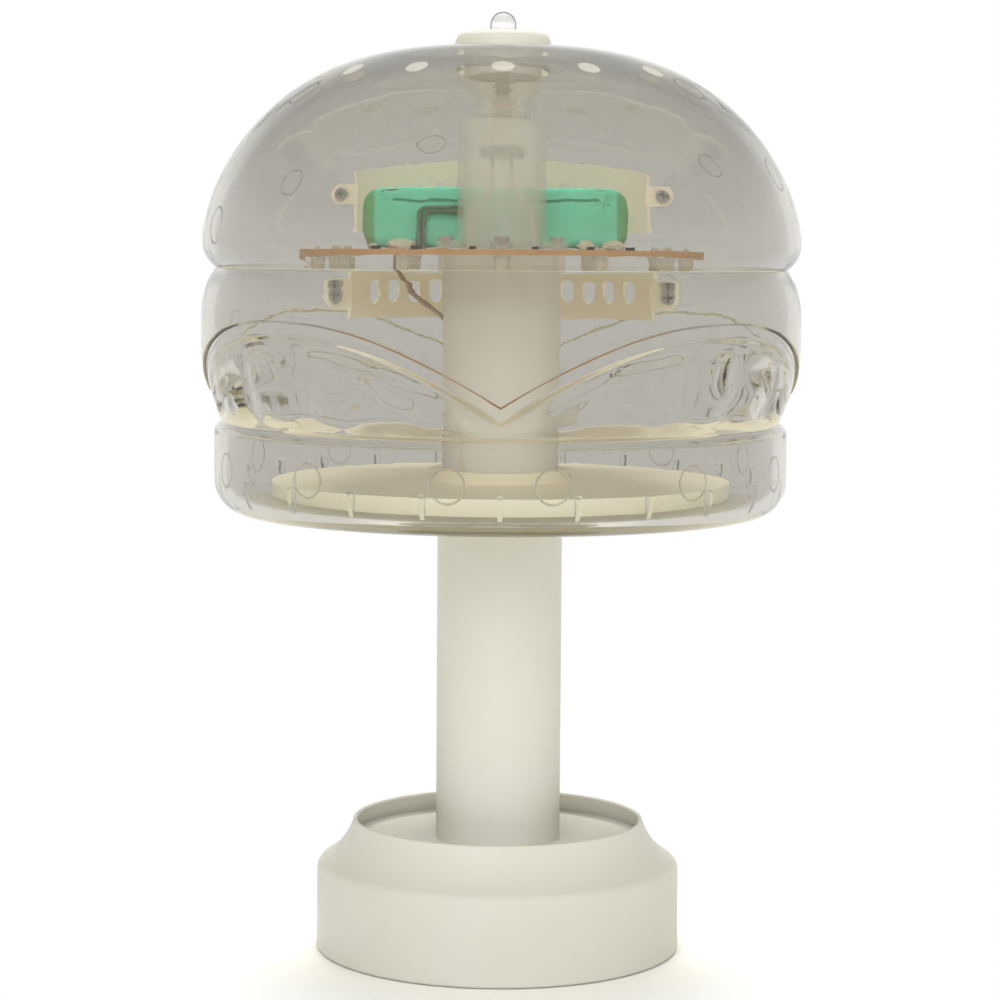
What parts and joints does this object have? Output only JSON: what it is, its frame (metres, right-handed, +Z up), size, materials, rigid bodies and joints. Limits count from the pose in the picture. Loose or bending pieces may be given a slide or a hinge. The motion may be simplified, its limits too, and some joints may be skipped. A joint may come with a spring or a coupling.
{
  "type": "novelty hamburger table lamp",
  "caption": "Table lamp shaped like a clear hamburger on a round column and base, with a lit board, battery pack and a spring push button inside.",
  "frame": {"origin": "centre of the rubber foot ring on the plane that the lamp stands on", "axes": "+Z up along the column, +X to the right seen from the front; the front of the lamp faces -Y and the charging socket faces +Y"},
  "size_m": [0.2174, 0.2174, 0.3402],
  "materials": {
    "cream_plastic": "glossy",
    "clear_plastic": "glossy",
    "frosted_plastic": "satin",
    "black_plastic": "satin",
    "brown_nylon": "satin",
    "black_rubber": "matte",
    "steel": "satin",
    "chrome": "polished",
    "copper": "satin",
    "brass": "satin",
    "brown_board": "satin",
    "green_board": "satin",
    "lamp_body": "glossy",
    "chip_black": "satin",
    "cell_metal": "satin",
    "green_wrap": "glossy",
    "wire_red": "satin",
    "wire_brown": "satin",
    "wire_white": "satin"
  },
  "bodies": {
    "lamp": {"base_shell": "cream_plastic", "base_cover": "cream_plastic", "base_weight": "steel", "foot_ring": "black_rubber", "cover_screws": "steel", "column_screws": "steel", "charge_board": "green_board", "charge_socket": "black_plastic", "column_tube": "cream_plastic", "bottom_tray": "cream_plastic", "tray_screws": "steel", "bottom_bun_shell": "clear_plastic", "middle_shell": "clear_plastic", "top_bun_shell": "clear_plastic", "lower_light_tube": "frosted_plastic", "wire_tube": "frosted_plastic", "wire_tie": "brown_nylon", "circuit_board": "brown_board", "led_lamps": "lamp_body", "board_parts": "chip_black", "upper_light_tube": "frosted_plastic", "tube_screws": "steel", "battery_cells": "cell_metal", "battery_wrap": "green_wrap", "battery_leads": "wire_red", "charge_wires": "wire_brown", "switch_wires": "wire_white", "switch_housing": "frosted_plastic", "switch_nut": "steel", "switch_terminals": "brass", "switch_spring": "steel", "top_cap": "cream_plastic", "upper_band": "cream_plastic", "lower_band": "cream_plastic", "upper_band_screws": "steel", "lower_band_screws": "steel"},
    "push_button": {"switch_button": "chrome", "switch_stem": "steel", "contact_disc": "copper"}
  },
  "joints": [
    {"name": "button_press", "type": "slide", "parent": "lamp", "child": "push_button", "axis": [0, 0, -1], "range_m": [0, 0.002], "stiffness_N_per_m": 600, "springref_m": -0.001, "deforming": ["switch_spring"]}
  ]
}
